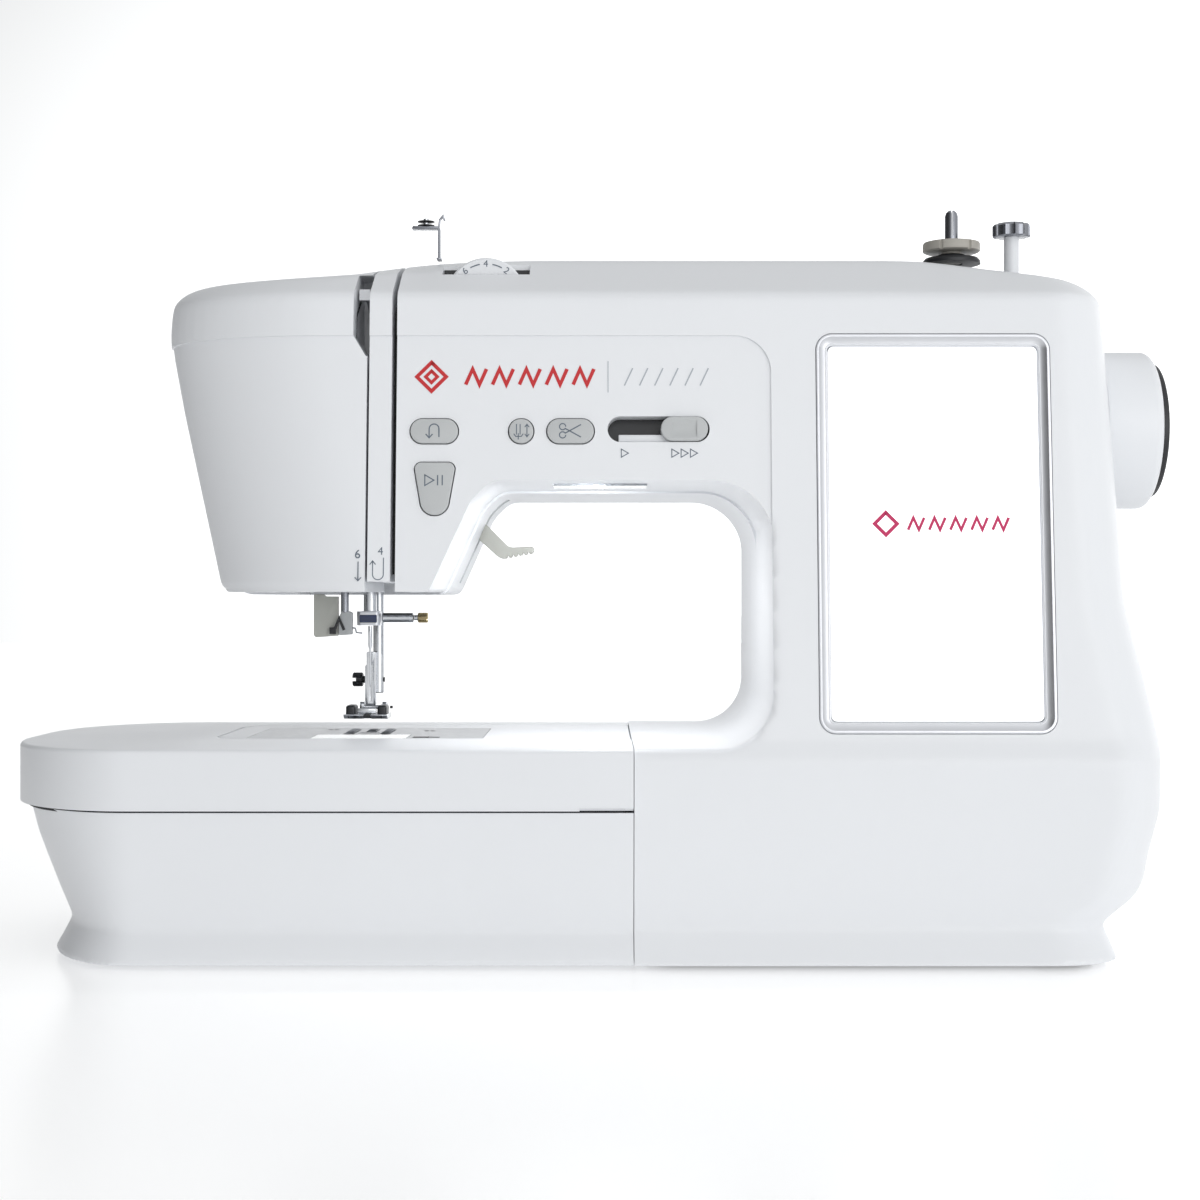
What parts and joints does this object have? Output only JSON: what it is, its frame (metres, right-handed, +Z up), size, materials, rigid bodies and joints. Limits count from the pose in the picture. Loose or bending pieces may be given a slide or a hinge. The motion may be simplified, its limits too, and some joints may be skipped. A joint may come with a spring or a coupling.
{
  "type": "sewing machine",
  "caption": "Free-arm sewing machine with touch screen, handwheel, needle and presser unit, top winder and a slide-off extension tray round the arm.",
  "frame": {"origin": "centre of the footprint on the ground, under the rubber feet", "axes": "+X from the tray end towards the handwheel, -Y towards the user, +Z up"},
  "size_m": [0.5, 0.2, 0.3204],
  "materials": {
    "white_plastic": "semi-gloss moulded",
    "button_plastic": "fine satin",
    "black_plastic": "satin",
    "rubber": "matt",
    "cast_metal": "as cast",
    "steel": "brushed",
    "chrome": "polished",
    "clear_plastic": "clear",
    "warm_plastic": "satin",
    "satin_silver": "satin",
    "screen_glass": "lit display under glass",
    "circuit_board": "solder mask"
  },
  "bodies": {
    "machine": {"front_casing": "white_plastic", "rear_casing": "white_plastic", "face_cover": "white_plastic", "thread_guide_strip": "white_plastic", "thread_channel": "black_plastic", "base_pan": "cast_metal", "foot_front_left": "rubber", "foot_rear_left": "rubber", "foot_front_right": "rubber", "foot_rear_right": "rubber", "cast_frame": "cast_metal", "free_arm_cover": "white_plastic", "needle_plate": "steel", "bobbin_case": "black_plastic", "timing_belt": "rubber", "motor_belt": "rubber", "motor": "cast_metal", "thread_guide": "chrome", "bobbin_winder_stop": "chrome", "spool_pin": "white_plastic", "screen_bezel": "satin_silver", "touch_screen": "screen_glass", "main_board": "circuit_board", "lamp_lens": "clear_plastic", "connector_panel": "black_plastic"},
    "tray": {"tray_body": "white_plastic", "tray_top": "white_plastic"},
    "drive": {"main_shaft": "steel", "drive_pulley": "black_plastic", "handwheel": "white_plastic", "handwheel_cap": "black_plastic"},
    "motor_rotor": {"motor_pulley": "steel"},
    "lower_drive": {"lower_shaft": "steel"},
    "hook": {"rotary_hook": "chrome"},
    "bobbin_spool": {"bobbin": "clear_plastic"},
    "needle_carrier": {"needle_bar": "chrome", "needle_clamp": "chrome", "needle": "chrome"},
    "clamp_screw": {"needle_clamp_screw": "chrome"},
    "presser": {"presser_bar": "chrome", "presser_foot_holder": "chrome"},
    "holder_screw": {"foot_holder_screw": "black_plastic"},
    "foot_sole": {"presser_foot": "chrome"},
    "lifter": {"presser_lever": "warm_plastic"},
    "threader": {"needle_threader": "warm_plastic"},
    "take_up": {"take_up_lever": "steel"},
    "feed": {"feed_dog": "steel"},
    "cover_lid": {"bobbin_cover": "clear_plastic"},
    "cover_latch": {"bobbin_cover_latch": "black_plastic"},
    "dial": {"tension_dial": "white_plastic"},
    "winder_carriage": {"bobbin_winder_base": "black_plastic"},
    "winder": {"bobbin_winder_spindle": "steel"},
    "cap": {"spool_cap": "white_plastic"},
    "handle": {"carry_handle": "white_plastic"},
    "reverse": {"reverse_button": "button_plastic"},
    "needle_position": {"needle_position_button": "button_plastic"},
    "thread_cutter": {"thread_cutter_button": "button_plastic"},
    "start_stop": {"start_stop_button": "button_plastic"},
    "speed": {"speed_slider": "button_plastic"},
    "switch": {"power_switch": "black_plastic"}
  },
  "joints": [
    {"name": "tray_slide", "type": "slide", "parent": "machine", "child": "tray", "axis": [-1, 0, 0], "range_m": [0, 0.27]},
    {"name": "handwheel_spin", "type": "hinge", "parent": "machine", "child": "drive", "pos_m": [0, 0.005, 0.2255], "axis": [1, 0, 0], "continuous": true},
    {"name": "motor_spin", "type": "hinge", "parent": "machine", "child": "motor_rotor", "pos_m": [0, 0.01, 0.12], "axis": [1, 0, 0], "continuous": true},
    {"name": "lower_shaft_spin", "type": "hinge", "parent": "machine", "child": "lower_drive", "pos_m": [0, 0.005, 0.048], "axis": [1, 0, 0], "continuous": true},
    {"name": "hook_spin", "type": "hinge", "parent": "machine", "child": "hook", "pos_m": [-0.104, -0.0155, 0.06], "axis": [0, 0, 1], "continuous": true},
    {"name": "bobbin_spin", "type": "hinge", "parent": "machine", "child": "bobbin_spool", "pos_m": [-0.104, -0.0155, 0.07], "axis": [0, 0, 1], "continuous": true},
    {"name": "needle_bar_stroke", "type": "slide", "parent": "machine", "child": "needle_carrier", "axis": [0, 0, -1], "range_m": [0, 0.031]},
    {"name": "clamp_screw_turn", "type": "hinge", "parent": "needle_carrier", "child": "clamp_screw", "pos_m": [-0.104, 0.005, 0.141], "axis": [1, 0, 0], "range_deg": [-360, 360]},
    {"name": "presser_lever_turn", "type": "hinge", "parent": "machine", "child": "lifter", "pos_m": [-0.064, 0.05, 0.185], "axis": [0, 1, 0], "range_deg": [0, 32.1]},
    {"name": "presser_bar_drop", "type": "slide", "parent": "machine", "child": "presser", "axis": [0, 0, -1], "range_m": [0, 0.005]},
    {"name": "holder_screw_turn", "type": "hinge", "parent": "presser", "child": "holder_screw", "pos_m": [-0.104, 0.017, 0.1126], "axis": [1, 0, 0], "range_deg": [-360, 360]},
    {"name": "presser_foot_tilt", "type": "hinge", "parent": "presser", "child": "foot_sole", "pos_m": [-0.104, 0.012, 0.1002], "axis": [1, 0, 0], "range_deg": [-3, 3]},
    {"name": "needle_threader_drop", "type": "slide", "parent": "machine", "child": "threader", "axis": [0, 0, -1], "range_m": [0, 0.02]},
    {"name": "take_up_swing", "type": "hinge", "parent": "machine", "child": "take_up", "pos_m": [-0.104, 0.014, 0.258], "axis": [1, 0, 0], "range_deg": [0, 48]},
    {"name": "feed_dog_shift", "type": "slide", "parent": "machine", "child": "feed", "axis": [0, -1, 0], "range_m": [-0.002, 0.002]},
    {"name": "bobbin_cover_lift", "type": "slide", "parent": "machine", "child": "cover_lid", "axis": [0, 0, 1], "range_m": [0, 0.025]},
    {"name": "cover_latch_shift", "type": "slide", "parent": "machine", "child": "cover_latch", "axis": [1, 0, 0], "range_m": [0, 0.0045]},
    {"name": "tension_dial_turn", "type": "hinge", "parent": "machine", "child": "dial", "pos_m": [-0.048, 0, 0.2765], "axis": [0, 1, 0], "range_deg": [-120, 120]},
    {"name": "winder_shift", "type": "slide", "parent": "machine", "child": "winder_carriage", "axis": [1, 0, 0], "range_m": [0, 0.0065]},
    {"name": "winder_spin", "type": "hinge", "parent": "winder_carriage", "child": "winder", "pos_m": [0.1546, -0.02, 0.296], "axis": [0, 0, 1], "continuous": true},
    {"name": "spool_cap_pull", "type": "slide", "parent": "machine", "child": "cap", "axis": [-1, 0, 0], "range_m": [0, 0.044]},
    {"name": "handle_swing", "type": "hinge", "parent": "machine", "child": "handle", "pos_m": [0, 0.096, 0.268], "axis": [1, 0, 0], "range_deg": [0, 175]},
    {"name": "reverse_press", "type": "slide", "parent": "machine", "child": "reverse", "axis": [0, 0.9953, -0.0969], "range_m": [0, 0.0012], "stiffness_N_per_m": 300},
    {"name": "needle_position_press", "type": "slide", "parent": "machine", "child": "needle_position", "axis": [0, 0.9953, -0.0969], "range_m": [0, 0.0012], "stiffness_N_per_m": 300},
    {"name": "thread_cutter_press", "type": "slide", "parent": "machine", "child": "thread_cutter", "axis": [0, 0.9953, -0.0969], "range_m": [0, 0.0012], "stiffness_N_per_m": 300},
    {"name": "start_stop_press", "type": "slide", "parent": "machine", "child": "start_stop", "axis": [0, 0.9953, -0.0969], "range_m": [0, 0.0012], "stiffness_N_per_m": 300},
    {"name": "speed_slide", "type": "slide", "parent": "machine", "child": "speed", "axis": [-1, 0, 0], "range_m": [0, 0.0205]},
    {"name": "power_rocker", "type": "hinge", "parent": "machine", "child": "switch", "pos_m": [0.2095, 0.049, 0.057], "axis": [0, 1, 0], "range_deg": [0, 8]}
  ],
  "couplings": [
    {"joint": "motor_spin", "follows": "handwheel_spin", "ratio": 3.75},
    {"joint": "lower_shaft_spin", "follows": "handwheel_spin", "ratio": 1},
    {"joint": "hook_spin", "follows": "handwheel_spin", "ratio": 2},
    {"joint": "presser_lever_turn", "follows": "presser_bar_drop", "rad_per_m": 111.7}
  ]
}
